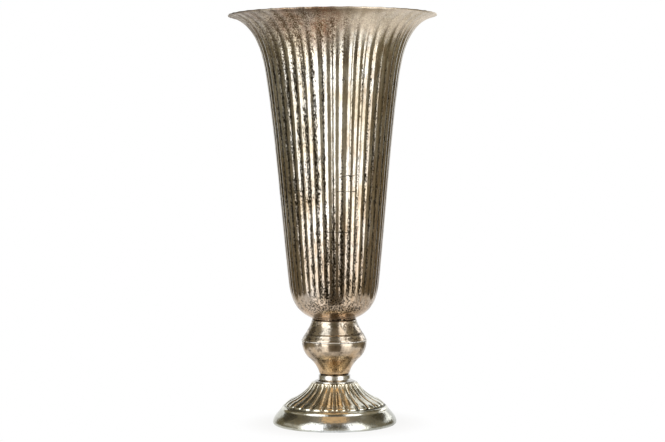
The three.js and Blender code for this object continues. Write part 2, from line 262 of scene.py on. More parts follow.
# browner from the last of the wall up to the lip, darkest left of the front
lipShare = addNode(tree, "MapRange", [up, 0.376, 0.400, 0.0, 0.85], interpolation_type="SMOOTHSTEP")
rightShare = addNode(tree, "MapRange", [across, 0.0, 0.03])
lipColour = addNode(tree, "Mix", [rightShare, "#8a766c", "#e0ceb8"], data_type="RGBA")
fromBrown = addNode(tree, "VectorMath", [spot, (-0.022, -0.088, 0.402)], operation="DISTANCE")
brownShare = addNode(tree, "MapRange", [fromBrown, 0.012, 0.050, 1.0, 0.0], interpolation_type="SMOOTHSTEP")
# the wall yellows and then darkens downwards, and copper shows round the bottom
goldShare = addNode(tree, "MapRange", [up, 0.29, 0.15, 0.0, 0.25])
darkShare = overlap(tree, (up, 0.215, 0.140, 0.0, 0.4), (up, 0.118, 0.134, 0.15, 1.0), interpolation_type="SMOOTHSTEP")
copperShare = addNode(tree, "MapRange", [up, 0.110, 0.136, 0.85, 0.0], interpolation_type="SMOOTHSTEP")
# these four come in clouds
cloudShare = patches(tree, (spot, grain(26), 4.0), (0.30, 0.62, 0.3, 1.0))
lipShare, brownShare, darkShare, copperShare = [addNode(tree, "Math", [share, cloudShare], operation="MULTIPLY")
                                                for share in (lipShare, brownShare, darkShare, copperShare)]
# the plate is rough in patches, more on the left and less round the bottom
roughShare = patches(tree, (spot, grain(22), 3.0), (0.42, 0.66), (across, 0.040, -0.045, -0.11, 0.14),
                     (up, 0.125, 0.15, -0.05, 0.0))
# oxide in hanging streaks and in grit of about 0.3 mm, drawn at 0.6 mm so that it shows; grit takes over low down
drawn = addNode(tree, "Mapping", {"Vector": spot, "Scale": (1, 1, 0.45)})
cell = addNode(tree, "TexVoronoi", [drawn, grain(0.62)])
grit = addNode(tree, "SeparateColor", [cell.outputs["Color"]]).outputs
gritMost = addNode(tree, "MapRange", [up, 0.116, 0.142, 0.55, 0.32])
hang = addNode(tree, "TexNoise", [hung, grain(1.15), 2.0])
hangMost = addNode(tree, "MapRange", [up, 0.116, 0.142, 0.2, 0.7])
# there is more of it downwards, most round the bottom and little on the neck
lowOxide = addNode(tree, "MapRange", [up, 0.375, 0.13, -0.86, -0.60])
bottomOxide = addNode(tree, "MapRange", [up, 0.116, 0.138, 0.33, 0.0])
neckClean = addNode(tree, "MapRange", [up, 0.1125, 0.118, -0.2, 0.0])
bottomOxide = addNode(tree, "Math", [bottomOxide, neckClean], operation="ADD")
oxideSum = addNode(tree, "Math", [lowOxide, bottomOxide], operation="ADD")
# less on the lower sides, least on the left
lowClean = addNode(tree, "MapRange", [up, 0.23, 0.15, 0.0, -0.15])
sideShare = addNode(tree, "MapRange", [fromMiddle, 0.012, 0.038])
leftClean = addNode(tree, "MapRange", [across, -0.010, -0.036, 0.0, 0.9])
sideShare = addNode(tree, "Math", [sideShare, leftClean], operation="ADD")
# more high up on the left, and on the flare except at its right
leftDark = addNode(tree, "MapRange", [across, -0.012, -0.050, 0.0, 0.06])
highShare = addNode(tree, "MapRange", [up, 0.27, 0.34])
flareDark = overlap(tree, (up, 0.338, 0.385, 0.0, 0.23), (across, -0.030, -0.060, 1.0, 0.7))
flareSide = addNode(tree, "MapRange", [across, 0.034, -0.010, 0.25, 1.0])
# less on the upper wall at the front
onFront = addNode(tree, "Math", [across, 0.010, 0.018], operation="COMPARE")
frontClean = overlap(tree, (up, 0.19, 0.24, 0.0, -0.21), (up, 0.350, 0.372, 1.0, 0.0))
for amount, share in ((lowClean, sideShare), (leftDark, highShare), (flareDark, flareSide), (onFront, frontClean),
                      (hang, hangMost), (grit[0], gritMost), (roughShare, 0.16), (grooved, 0.4)):
    oxideSum = addNode(tree, "Math", [amount, share, oxideSum], operation="MULTIPLY_ADD")
# it is thinner and brown on the flare, and points of bare plate stay in it
oxideMost = addNode(tree, "MapRange", [up, 0.360, 0.392, 1.0, 0.85])
oxide = addNode(tree, "MapRange", [oxideSum, 0.0, 0.13, 0.0, oxideMost])
pointShare = addNode(tree, "MapRange", [grit[1], 0.7, 1.0, 1.0, 0.3])
oxide = addNode(tree, "Math", [oxide, pointShare], operation="MULTIPLY")
oxideBrown = addNode(tree, "MapRange", [up, 0.350, 0.385])
oxideColour = addNode(tree, "Mix", [oxideBrown, "#201a0f", "#4a3822"], data_type="RGBA")
# hairline cracks run across the front: height, and from where to where, in millimetres
cracks = {"runs": ((250.5, 8, 21), (235, 3, 22), (236, -42, -29), (195.5, -8, 18)), "wander": 4.0, "width": 0.45,
          "strength": 0.75}
wander = addNode(tree, "TexNoise", [spot, grain(4), 4.0])
wavy = addNode(tree, "Math", [wander, cracks["wander"] * mm, up], operation="MULTIPLY_ADD")
for height, left, right in cracks["runs"]:
    level, middle, half = (height + cracks["wander"] / 2) * mm, (left + right) / 2 * mm, (right - left) / 2 * mm
    line = addNode(tree, "Math", [wavy, level, cracks["width"] * mm], operation="COMPARE")
    inside = addNode(tree, "Math", [across, middle, half], operation="COMPARE")
    crack = addNode(tree, "Math", [line, inside], operation="MULTIPLY")
    oxide = addNode(tree, "Math", [crack, cracks["strength"], oxide], operation="MULTIPLY_ADD", use_clamp=True)
# dull grit, brown mottles where the plate is thin, and bright flecks where the brown of the flare is rubbed
saltMost = addNode(tree, "MapRange", [fromMiddle, 0.012, 0.040, 0.2, 0.35])
saltShare = addNode(tree, "MapRange", [grit[2], 0.0, 1.0, 0.0, saltMost])
mottleShare = patches(tree, (drawn, grain(1.8), 3.0, 0.7), (0.46, 0.58, 0.0, 0.2))
fleckShare = overlap(tree, (grit[1], 0.6, 1.0, 0.0, 0.55), (up, 0.340, 0.380))
colour = tinted(tree, "#e0e0dc", (toneShare, "#c0b6a2"), (streakShare, "#938069"), (lipShare, lipColour),
                (brownShare, "#94694a"), (copperShare, "#c09a6a"), (goldShare, "#d2a67c"), (darkShare, "#5c4836"),
                (saltShare, "#857960"), (mottleShare, "#6c5c4a"), (fleckShare, "#f2e6c8"), (oxide, oxideColour))
# the flare is duller than the wall, from lower down at the front
gloss = addNode(tree, "MapRange", [oxide, 0.0, 1.0, 0.13, 0.45])
dullShift = addNode(tree, "MapRange", [fromMiddle, 0.0, 0.030, 0.014, 0.0])
dullRise = addNode(tree, "Math", [up, dullShift], operation="ADD")
flareDull = addNode(tree, "MapRange", [dullRise, 0.374, 0.394, 0.0, 0.2])
gloss = addNode(tree, "Math", [flareDull, gloss], operation="ADD")
# pits about 1 mm across, deep in the rough patches, and a hand-worked unevenness
speck = addNode(tree, "TexNoise", [drawn, grain(1.05), 2.0, 0.6])
pitDepth = addNode(tree, "MapRange", [roughShare, 0.0, 1.0, 0.18, 1.0])
pits = addNode(tree, "Math", [speck, pitDepth], operation="MULTIPLY")
long = addNode(tree, "Mapping", {"Vector": spot, "Scale": (1, 1, 0.15)})
dents = addNode(tree, "TexNoise", [long, grain(6), 2.0])
closeFinish(tree, colour, gloss, ((0.16, pits), (0.08, dents)))

# Silver plate worn to the brass on the spun knops: a clear mirror with fine turning rings, silvery above and bronze
# towards the waist.
turningDraw = (0.03, 0.03, 1)  # draws a noise out into rings
knopPlate, tree, spot = openFinish("wornSilverOverSpunBrass")
_, up, fromMiddle, grooved = plateInputs(tree, spot)
cloud = addNode(tree, "TexNoise", [spot, grain(14), 4.0])
worn = addNode(tree, "MapRange", [up, 0.058, 0.092, 1.0, 0.1], interpolation_type="SMOOTHSTEP")
wornShift = addNode(tree, "MapRange", [cloud, 0.3, 0.7, -0.35, 0.35])
wornShare = addNode(tree, "Math", [worn, wornShift], operation="ADD", use_clamp=True)
# the full part under the bead is tarnished
tarnishShare = overlap(tree, (up, 0.062, 0.074, 0.0, 0.6), (up, 0.0815, 0.0838, 1.0, 0.0),
                       (cloud, 0.43, 0.53, 1.0, 0.15))
# groove values below zero mark edges that are rubbed bright, which is wear and a painted highlight
rubbedAndHighlight = addNode(tree, "MapRange", [grooved, -1.0, 0.0, 1.0, 0.0])
# stains, more of them at the sides, and fine streaks down to the waist, drawn 1 mm wide so that they show
stainShare = patches(tree, (spot, grain(6), 6.0, 0.7), (0.54, 0.64, 0.0, 0.8), (fromMiddle, 0.005, 0.020, 0.0, 0.035))
hung = addNode(tree, "Mapping", {"Vector": spot, "Scale": (1, 1, 0.08)})
streakShare = patches(tree, (hung, grain(1.0), 2.0, 0.6), (0.48, 0.66, 0.0, 0.55))
waistShare = addNode(tree, "MapRange", [up, 0.070, 0.078, 1.0, 0.2])
streakShare = addNode(tree, "Math", [streakShare, waistShare], operation="MULTIPLY")
oxide = addNode(tree, "Math", [stainShare, grooved], operation="MAXIMUM")
oxide = addNode(tree, "Math", [oxide, streakShare], operation="MAXIMUM")
# black specks on the sides above the bead
speckShare = patches(tree, (spot, grain(1.6), 2.0, 0.6), (0.52, 0.60, 0.0, 0.8), (fromMiddle, 0.010, 0.016, -0.12, 0.0))
aboveShare = addNode(tree, "MapRange", [up, 0.085, 0.087])
oxide = addNode(tree, "Math", [speckShare, aboveShare, oxide], operation="MULTIPLY_ADD", use_clamp=True)
# the bead's pale colour is worn plate and a painted highlight
colour = tinted(tree, "#c8c1b5", (wornShare, "#c4a680"), (tarnishShare, "#7f6e5a"), (rubbedAndHighlight, "#f6f2ea"),
                (oxide, "#3f3120"))
gloss = addNode(tree, "MapRange", [oxide, 0.0, 1.0, 0.17, 0.42])
gloss = addNode(tree, "Math", [rubbedAndHighlight, 0.2, gloss], operation="MULTIPLY_ADD")
# turning rings are about 0.2 mm apart, drawn at 0.7 mm so that they show
ringPlaces = addNode(tree, "Mapping", {"Vector": spot, "Scale": turningDraw})
rings = addNode(tree, "TexNoise", [ringPlaces, grain(0.7), 2.0])
dents = addNode(tree, "TexNoise", [spot, grain(6), 2.0])
closeFinish(tree, colour, gloss, ((0.012, rings), (0.08, dents)))


# plain finish: clouds from one tone to a second, duller one, over a fine relief
def cloudyFinish(name, look):
    material, tree, spot = openFinish(name)
    share = patches(tree, (spot, grain(look["cloud"]), 4.0), look["spread"])
    colour = tinted(tree, look["tone"], (share, look["clouded"]))
    gloss = addNode(tree, "MapRange", [share, 0.0, 1.0, *look["gloss"]])
    place = addNode(tree, "Mapping", {"Vector": spot, "Scale": look["drawn"]}) if "drawn" in look else spot
    relief = addNode(tree, "TexNoise", [place, grain(look["relief"]), 2.0])
    closeFinish(tree, colour, gloss, [(look["depth"], relief)], look["metallic"])
    return material


# Bright silver plate on the turned collar: a clean cool mirror with a little grey tarnish and faint rings, which are
# about 0.2 mm apart and drawn at 0.6 mm so that they show.
collarPlate = cloudyFinish("brightSilverOverTurnedBrass", {
    "tone": "#d6d5d1", "clouded": "#8f8a80", "cloud": 6, "spread": (0.46, 0.68, 0.0, 0.7), "gloss": (0.22, 0.36),
    "relief": 0.6, "depth": 0.01, "drawn": turningDraw, "metallic": 1.0})

# Silver plate on the pressed foot, polished on the crests: dark oxide stays between the flutes and under the step.
footPlate, tree, spot = openFinish("polishedSilverOverPressedBrass")
across, up, fromMiddle, grooved = plateInputs(tree, spot)
cloudShare = patches(tree, (spot, grain(15), 4.0), (0.35, 0.65))
# painted reflections: the border is grey at the sides, most at the right, and cool at the front; the flutes are warm at
# the front
border = (up, 0.0145, 0.0165, 0.45, 0.0)
paintedGreyReflection = overlap(tree, (fromMiddle, 0.012, 0.036), border, (across, 0.012, 0.036, 1.0, 1.5))
borderShare = addNode(tree, "MapRange", border)
paintedCoolReflection = addNode(tree, "Math", [borderShare, paintedGreyReflection], operation="SUBTRACT", use_clamp=True)
paintedWarmReflection = overlap(tree, (fromMiddle, 0.008, 0.028, 0.45, 0.0), (up, 0.0165, 0.0185))
# oxide in stains, in the grooves and in freckles; the grooves are darker on the right, which is painted shade
stainShare = patches(tree, (spot, grain(5), 5.0, 0.65), (0.58, 0.72, 0.0, 0.7))
grooveOxideAndRightShade = addNode(tree, "MapRange", [across, 0.005, 0.030, 0.55, 1.0])
grooveShare = addNode(tree, "MapRange", [grooved, 0.6, 1.0, 0.0, grooveOxideAndRightShade])
freckleShare = patches(tree, (spot, grain(1.4), 2.0, 0.6), (0.54, 0.74, 0.0, 0.6))
oxide = addNode(tree, "Math", [stainShare, grooveShare], operation="MAXIMUM")
oxide = addNode(tree, "Math", [oxide, freckleShare], operation="MAXIMUM")
# the grey, cool and warm tints are painted reflections
colour = tinted(tree, "#ebebdf", (cloudShare, "#cfcbba"), (paintedGreyReflection, "#8f928c"), (paintedCoolReflection, "#c3ccdc"),
                (paintedWarmReflection, "#f6e2be"), (oxide, "#3c3829"))
# the border is scuffed dull where it is handled and wiped, near the table
gloss = addNode(tree, "MapRange", [oxide, 0.0, 1.0, 0.15, 0.45])
scuff = addNode(tree, "MapRange", [up, 0.004, 0.010, 0.06, 0.0])
gloss = addNode(tree, "Math", [gloss, scuff], operation="ADD")
dents = addNode(tree, "TexNoise", [spot, grain(3), 3.0])
closeFinish(tree, colour, gloss, [(0.12, dents)])

# Bright zinc plate on steel fastenings: cool grey, cloudy and finely crystalline.
zincSteel = cloudyFinish("brightZincPlatedSteel", {
    "tone": "#b4b6b8", "clouded": "#96989a", "cloud": 3, "spread": (0.35, 0.65), "gloss": (0.26, 0.42),
    "relief": 0.5, "depth": 0.012, "metallic": 1.0})

# Moulded black rubber: dull, faintly dusty, with a fine grain from the mould.
sealRubber = cloudyFinish("mouldedBlackRubber", {
    "tone": "#1b1b1a", "clouded": "#34332f", "cloud": 4, "spread": (0.4, 0.75), "gloss": (0.62, 0.85),
    "relief": 0.6, "depth": 0.03, "metallic": 0.0})
print("materials made:", len(bpy.data.materials))


# outlines, as (radius, height) in millimetres

def bezier(start, startHandle, endHandle, end, steps):
    points = []
    for i in range(steps + 1):
        t = i / steps
        s = 1 - t
        points.append(tuple(s ** 3 * a + 3 * s * s * t * b + 3 * s * t * t * c + t ** 3 * d
                            for a, b, c, d in zip(start, startHandle, endHandle, end)))
    return points


# curve whose two handles are shares of the way across and up
def curve(start, end, handles, steps):
    pulled = [tuple(a + (b - a) * share for a, b, share in zip(start, end, handle)) for handle in handles]
    return bezier(start, *pulled, end, steps)


# rounds each corner that carries a third number, its radius
def rounded(corners, steps=4, closed=False):
    points = []
    count = len(corners)
    for i, corner in enumerate(corners):
        here = Vector(corner[:2])
        inRun = closed or 0 < i < count - 1
        if len(corner) < 3 or not inRun:
            points.append(tuple(here))
            continue
        back = Vector(corners[i - 1][:2]) - here
        ahead = Vector(corners[(i + 1) % count][:2]) - here
        half = back.angle(ahead) / 2
        cut = min(corner[2] / math.tan(half), back.length * 0.48, ahead.length * 0.48)  # just under half a side
        start, end = here + back.normalized() * cut, here + ahead.normalized() * cut
        for j in range(steps + 1):
            t = j / steps
            points.append(tuple(start * (1 - t) ** 2 + here * 2 * t * (1 - t) + end * t * t))
    return points


# outward normals of an open outline, lengthened at corners so that an offset keeps the wall's thickness
def outlineNormals(outline):
    normals = []
    for i in range(len(outline)):
        sides = []
        for a, b in ((i - 1, i), (i, i + 1)):
            if a >= 0 and b < len(outline):
                run = Vector(outline[b][:2]) - Vector(outline[a][:2])
                sides.append(Vector((run.y, -run.x)).normalized())
        middle = (sides[0] + sides[-1]).normalized()
        normals.append(middle / middle.dot(sides[0]))
    return normals


def innerSide(outline, wall):
    return [tuple(Vector(p[:2]) - n * wall) + tuple(p[2:]) for p, n in zip(outline, outlineNormals(outline))]


def smoothStep(low, high, value):
    t = min(1, max(0, (value - low) / (high - low)))
    return t * t * (3 - 2 * t)


def finish(piece, node):
    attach(piece, "root")
    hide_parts(node)
    print(piece.name, "stands for", node + ":", sum(len(p.vertices) - 2 for p in piece.data.polygons), "triangles")


# piece from sections that stand round the axis, each with its turn; an open round is capped at both ends
def roundPiece(name, sections, material, closed=True, sharp=None):
    rings, rows = len(sections), len(sections[0][1])
    spots = [(r * mm * math.cos(turn), r * mm * math.sin(turn), z * mm)
             for turn, section in sections for r, z in section]
    faces = []
    for ring in range(rings if closed else rings - 1):
        a, b = ring * rows, (ring + 1) % rings * rows
        faces += [(a + row, b + row, b + (row + 1) % rows, a + (row + 1) % rows) for row in range(rows)]
    if not closed:
        faces += [tuple(range(rows)), tuple((rings - 1) * rows + row for row in reversed(range(rows)))]
    mesh = bpy.data.meshes.new(name)
    mesh.from_pydata(spots, [], faces)
    mesh.shade_smooth()
    if sharp:
        mesh.set_sharp_from_angle(angle=math.radians(sharp))
    mesh.materials.append(material)
    piece = bpy.data.objects.new(name, mesh)
    scene.collection.objects.link(piece)
    return piece


# turned piece from one closed section; oxide gives how dark each section point is with old polish
def turnedPiece(name, section, columns, material, oxide=None):
    piece = roundPiece(name, [(column / columns * math.tau, section) for column in range(columns)], material)
    if oxide:
        shade = piece.data.attributes.new("groove", "FLOAT", "POINT")
        shade.data.foreach_set("value", oxide * columns)
    return piece


# sweeps by geometry nodes: a tree turns a section strip round the axis

def openSweep(name, sizes):
    tree = bpy.data.node_groups.new(name, "GeometryNodeTree")
    keys = {}
    for label, kind in {"Section": "Geometry", **sizes, "Finish": "Material"}.items():
        socket = tree.interface.new_socket(label, in_out="INPUT", socket_type="NodeSocket" + kind)
        keys[label] = socket.identifier
    tree.interface.new_socket("Piece", in_out="OUTPUT", socket_type="NodeSocketGeometry")
    return tree, keys, addNode(tree, "NodeGroupInput").outputs


# grid with a column for each step round and a row for each strip point, and its first row again if the strip is closed
def sweepGrid(tree, section, columns, closed):
    rows = addNode(tree, "GeometryNodeAttributeDomainSize", [section], component="MESH")
    stride = addNode(tree, "FunctionNodeIntegerMath", [rows, int(closed)], operation="ADD")
    stops = addNode(tree, "FunctionNodeIntegerMath", [columns, 1], operation="ADD")
    grid = addNode(tree, "GeometryNodeMeshGrid", {"Vertices X": stops, "Vertices Y": stride})
    index = addNode(tree, "GeometryNodeInputIndex")
    column = addNode(tree, "FunctionNodeIntegerMath", [index, stride], operation="DIVIDE_FLOOR")
    row = addNode(tree, "FunctionNodeIntegerMath", [index, stride], operation="MODULO")
    row = addNode(tree, "FunctionNodeIntegerMath", [row, rows], operation="MODULO")
    stripPlace = addNode(tree, "GeometryNodeInputPosition")
    place = addNode(tree, "GeometryNodeSampleIndex", [section, stripPlace, row], data_type="FLOAT_VECTOR")
    return grid, column, row, place


def closeSweep(tree, grid, radius, height, angle, material):
    level = []
    for operation in ("COSINE", "SINE"):
        share = addNode(tree, "Math", [angle], operation=operation)
        level.append(addNode(tree, "Math", [radius, share], operation="MULTIPLY"))
    swept = addNode(tree, "CombineXYZ", level + [height])
    shape = addNode(tree, "GeometryNodeSetPosition", {0: grid, "Position": swept})
    shape = addNode(tree, "GeometryNodeMergeByDistance", {0: shape, "Distance": 0.002 * mm})
    shape = addNode(tree, "GeometryNodeSetShadeSmooth", [shape])
    shape = addNode(tree, "GeometryNodeRealizeInstances", [shape])
    shape = addNode(tree, "GeometryNodeSetMaterial", {0: shape, "Material": material})
    addNode(tree, "NodeGroupOutput", [shape])
    return tree


# piece that a tree makes from a strip, turned into a plain mesh
def sweptPiece(name, strip, tree, keys, sizes):
    piece = bpy.data.objects.new(name, strip)
    scene.collection.objects.link(piece)
    sweep = piece.modifiers.new("sweep", "NODES")
    sweep.node_group = tree
    for label, value in sizes.items():
        sweep[keys[label]] = value
    depsgraph = bpy.context.evaluated_depsgraph_get()
    made = bpy.data.meshes.new_from_object(piece.evaluated_get(depsgraph), preserve_all_data_layers=True,
                                           depsgraph=depsgraph)
    piece.modifiers.remove(sweep)
    piece.data = made
    made.name = name
    bpy.data.meshes.remove(strip)
    return piece


# tree of the fluted shells
tree, fluteKeys, given = openSweep("flutedShell", {
    "Flutes": "Int", "Steps per flute": "Int", "Crest width": "Float", "Groove softness": "Float", "Fullness": "Float",
    "Unevenness": "Float", "Seed": "Int"})
columnCount = addNode(tree, "FunctionNodeIntegerMath", [given["Flutes"], given["Steps per flute"]],
                      operation="MULTIPLY")
grid, column, row, place = sweepGrid(tree, given["Section"], columnCount, True)
held = {}
for label, kind in (("dip", "FLOAT_VECTOR"), ("end", "FLOAT"), ("oxide", "FLOAT"), ("fluted", "FLOAT")):
    stripValue = addNode(tree, "GeometryNodeInputNamedAttribute", [label], data_type=kind)
    held[label] = addNode(tree, "GeometryNodeSampleIndex", [given["Section"], stripValue, row], data_type=kind)
# place off the crest: 0 on the crest, half a pitch in the groove, which faces the front
turnShare = addNode(tree, "Math", [column, given["Steps per flute"]], operation="DIVIDE")
offCrest = addNode(tree, "Math", [turnShare], operation="FRACT")
offCrest = addNode(tree, "Math", [offCrest, 0.5], operation="SUBTRACT")
# each flute leans a little to one side and stands a little higher or lower than its neighbours
fluteNumber = addNode(tree, "Math", [turnShare], operation="FLOOR")
lean = addNode(tree, "FunctionNodeRandomValue", [-0.3, 0.3, fluteNumber, given["Seed"]])
stand = addNode(tree, "FunctionNodeRandomValue", [-1.0, 1.0, columnCount, fluteNumber])
edgeRoom = addNode(tree, "Math", [offCrest, offCrest], operation="MULTIPLY")
edgeRoom = addNode(tree, "Math", [0.25, edgeRoom], operation="SUBTRACT")
leanShare = addNode(tree, "Math", [lean, given["Unevenness"]], operation="MULTIPLY")
offCrest = addNode(tree, "Math", [edgeRoom, leanShare, offCrest], operation="MULTIPLY_ADD")
offShare = addNode(tree, "Math", [offCrest, given["Crest width"]], operation="DIVIDE")
offSquare = addNode(tree, "Math", [offShare, offShare], operation="MULTIPLY")
dome = addNode(tree, "Math", [1.0, offSquare], operation="SUBTRACT")
dome = addNode(tree, "Math", [dome, held["end"]], operation="SUBTRACT")
dome = addNode(tree, "Math", [dome, 0.0, given["Groove softness"]], operation="SMOOTH_MAX")
crest = addNode(tree, "Math", [dome, given["Fullness"]], operation="POWER")
standShare = addNode(tree, "Math", [stand, given["Unevenness"]], operation="MULTIPLY")
crestHeight = addNode(tree, "Math", [standShare, 0.25, 1.0], operation="MULTIPLY_ADD")
crest = addNode(tree, "Math", [crest, crestHeight], operation="MULTIPLY")
sink = addNode(tree, "Math", [1.0, crest], operation="SUBTRACT")
sunk = addNode(tree, "VectorMath", [held["dip"], sink], operation="SCALE")
moved = addNode(tree, "VectorMath", [place, sunk], operation="ADD")
parts = addNode(tree, "SeparateXYZ", [moved]).outputs
grooveHeld = addNode(tree, "Math", [sink, held["fluted"]], operation="MULTIPLY")
grooveHeld = addNode(tree, "Math", [grooveHeld, held["oxide"]], operation="MAXIMUM")
grid = addNode(tree, "GeometryNodeStoreNamedAttribute", {0: grid, "Name": "groove", "Value": grooveHeld},
               data_type="FLOAT", domain="POINT")
# round the axis, with the first groove at the front
angle = addNode(tree, "Math", [column, columnCount], operation="DIVIDE")
angle = addNode(tree, "Math", [angle, math.tau, -math.pi / 2], operation="MULTIPLY_ADD")
fluteTree = closeSweep(tree, grid, parts["X"], parts["Z"], angle, given["Finish"])


# strip point: how far it dips between the flutes, how near it is to a rounded flute end, the oxide that it holds
# anyway, and the share of groove oxide that it holds
def stripPoint(r, z, dip=(0, 0), end=0.0, oxide=0.0, fluted=0.0):
    return {"r": r, "z": z, "dip": dip, "end": end, "oxide": oxide, "fluted": fluted}


def flutedPiece(name, points, sizes, material):
    strip = bpy.data.meshes.new(name + "Section")
    strip.from_pydata([(point["r"] * mm, 0, point["z"] * mm) for point in points],
                      [(i, (i + 1) % len(points)) for i in range(len(points))], [])
    dips = strip.attributes.new("dip", "FLOAT_VECTOR", "POINT")
    dips.data.foreach_set("vector", [n for point in points for n in (point["dip"][0] * mm, 0, point["dip"][1] * mm)])
    for label in ("end", "oxide", "fluted"):
        values = strip.attributes.new(label, "FLOAT", "POINT")
        values.data.foreach_set("value", [point[label] for point in points])
    return sweptPiece(name, strip, fluteTree, fluteKeys, {**sizes["shell"], "Finish": material})


# bowl

reededBowl = {
    "shell": {"Flutes": 42, "Steps per flute": 14, "Crest width": 0.433, "Groove softness": 0.30, "Fullness": 1.0,
              "Unevenness": 0.8, "Seed": 4},
    "seat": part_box("bowl")[0].z / mm, "height": 303.7, "wall": 1.2, "hole": 4.4, "neckRounds": (0.3, 0.4),
    "neckRadius": 22.2, "neckHeight": 1.0, "roundAngle": 22.0, "roundReach": 0.65, "roundDrop": 0.5, "roundSteps": 18,
    "bellyRadius": 45.4, "bellyHeight": 36.6, "bellyLean": 0.107, "bodyReach": 0.295, "bodySteps": 20,
    "shoulderRadius": 65.9, "shoulderHeight": 238.7, "shoulderLean": 0.141, "flareRise": 0.39, "flareReach": 0.745,
    "rimRadius": 104.5, "lipAngle": 10.5, "flareSteps": 24,
    "lipStops": (0.12, 0.3, 0.5, 0.7, 0.88), "lipBulge": 0.8, "lipBack": 0.25,
    "fluteStart": 19.7, "fluteFade": 14.0, "depthBelly": 0.45, "depthShoulder": 0.95, "depthRim": 0.8,
    "lipFade": 5.0, "lipDepth": 0.35,
    "blackNeck": 0.6, "oxideDepths": (0.05, 0.35), "lipClean": 0.6, "cleanFrom": 70, "cleanTo": 28,
}


def bowlPoints(bowl):
    seat, lean, upperLean = bowl["seat"], bowl["bellyLean"], bowl["shoulderLean"]
    neck = (bowl["neckRadius"], seat + bowl["neckHeight"])
    belly = (bowl["bellyRadius"], seat + bowl["bellyHeight"])
    shoulder = (bowl["shoulderRadius"], seat + bowl["shoulderHeight"])
    rim = (bowl["rimRadius"], seat + bowl["height"])
    roundReach, roundDrop = (belly[0] - neck[0]) * bowl["roundReach"], (belly[1] - neck[1]) * bowl["roundDrop"]
    bodyReach = (shoulder[1] - belly[1]) * bowl["bodyReach"]
    flareRise, flareReach = (rim[1] - shoulder[1]) * bowl["flareRise"], (rim[0] - shoulder[0]) * bowl["flareReach"]
    roundRise = roundReach * math.tan(math.radians(bowl["roundAngle"]))
    lipDrop = flareReach * math.tan(math.radians(bowl["lipAngle"]))
    bottom = bezier(neck, (neck[0] + roundReach, neck[1] + roundRise),
                    (belly[0] - roundDrop * lean, belly[1] - roundDrop), belly, bowl["roundSteps"])
    body = bezier(belly, (belly[0] + bodyReach * lean, belly[1] + bodyReach),
                  (shoulder[0] - bodyReach * upperLean, shoulder[1] - bodyReach), shoulder, bowl["bodySteps"])
    flare = bezier(shoulder, (shoulder[0] + flareRise * upperLean, shoulder[1] + flareRise),
                   (rim[0] - flareReach, rim[1] - lipDrop), rim, bowl["flareSteps"])
    seatRound, neckRound = bowl["neckRounds"]
    outline = [(bowl["hole"], seat), (neck[0], seat, seatRound), neck + (neckRound,)]
    outline += bottom[1:] + body[1:] + flare[1:]
    outside = rounded(outline)
    inside = rounded(innerSide(outline, bowl["wall"]))[::-1]

    def depth(r, z):
        start = seat + bowl["fluteStart"]
        if r < shoulder[0]:
            share = (r - belly[0]) / (shoulder[0] - belly[0])
            full = bowl["depthBelly"] + share * (bowl["depthShoulder"] - bowl["depthBelly"])
        else:
            share = (r - shoulder[0]) / (rim[0] - shoulder[0])
            full = bowl["depthShoulder"] + smoothStep(0, 1, share) * (bowl["depthRim"] - bowl["depthShoulder"])
        full *= 1 - (1 - bowl["lipDepth"]) * smoothStep(rim[0] - bowl["lipFade"], rim[0], r)
        return smoothStep(start, start + bowl["fluteFade"], z) * full

    points = []
    for side, outward in ((outside, 1), (inside, -1)):
        for (r, z), normal in zip(side, outlineNormals(side)):
            unit = normal.normalized() * outward
            deep = depth(r, z)
            # the neck under the round bottom is black with old polish, and the grooves are cleaner near the lip
            black = 0.0 if outward < 0 or z > seat + bowl["blackNeck"] else 1.0
            clean = bowl["lipClean"] * smoothStep(rim[1] - bowl["cleanFrom"], rim[1] - bowl["cleanTo"], z)
            points.append(stripPoint(r, z, (-unit.x * deep, -unit.y * deep), oxide=black,
                                     fluted=smoothStep(*bowl["oxideDepths"], deep) * (1 - clean)))
    # the lip's edge is rounded over between the two sides
    seam = len(outside)
    outer, inner = points[seam - 1], points[seam]
    over = Vector((inner["r"] - outer["r"], inner["z"] - outer["z"]))
    onward = Vector((over.y, -over.x))
    lip = []
    for k in bowl["lipStops"]:
        bulge = math.sqrt(0.25 - (k - 0.5) ** 2) * bowl["lipBulge"] - bowl["lipBack"]
        edge = Vector((outer["r"], outer["z"])) + over * k + onward * bulge
        lip.append(dict(outer, r=edge.x, z=edge.y))
    return points[:seam] + lip + points[seam:]


bowl = flutedPiece("reededBowl", bowlPoints(reededBowl), reededBowl, bowlPlate)
finish(bowl, "bowl")


# foot

flutedFoot = {
    "shell": {"Flutes": 26, "Steps per flute": 28, "Crest width": 0.41, "Groove softness": 0.05, "Fullness": 0.3,
              "Unevenness": 0.15, "Seed": 9},
    "height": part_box("foot")[1].z / mm, "radius": 62.3, "wall": 1.5, "hole": 4.4, "topRadius": 23.0, "hemWidth": 4.5,
    "hemEdge": 1.3, "hemRound": 0.9, "borderWidth": 8.3, "borderHeight": 15.2, "beadWidth": 2.6, "beadRise": 3.3,
    "endRadius": 50.6, "endHeight": 19.8, "endLength": 2.4, "bulgeWidth": 8.6, "bulgeRise": 5.6,
    "bulgeHandles": ((0.22, 0.36), (0.58, 0.8)), "flankHandles": ((0.21, 0.12), (0.75, 0.48)),
    "borderPull": (0.4, 0.5, 0.7), "beadPull": (0.3, 0.45, 1.0, 0.2), "hollowOut": 0.3, "hollowDrop": 0.1,
    "hollowRounds": (0.4, 0.5), "topOut": 0.1, "topDrop": 0.4, "topRound": 0.6, "topDip": (-0.8, -0.3),
    "insideRound": 0.8, "borderSteps": 14, "beadSteps": 10, "bulgeSteps": 18, "flankSteps": 24, "topSteps": 5,
    "depthTop": 0.9, "depthEnd": 1.2, "borderOxide": 0.7, "hollowOxide": 0.95, "insideOxide": 0.25,
}


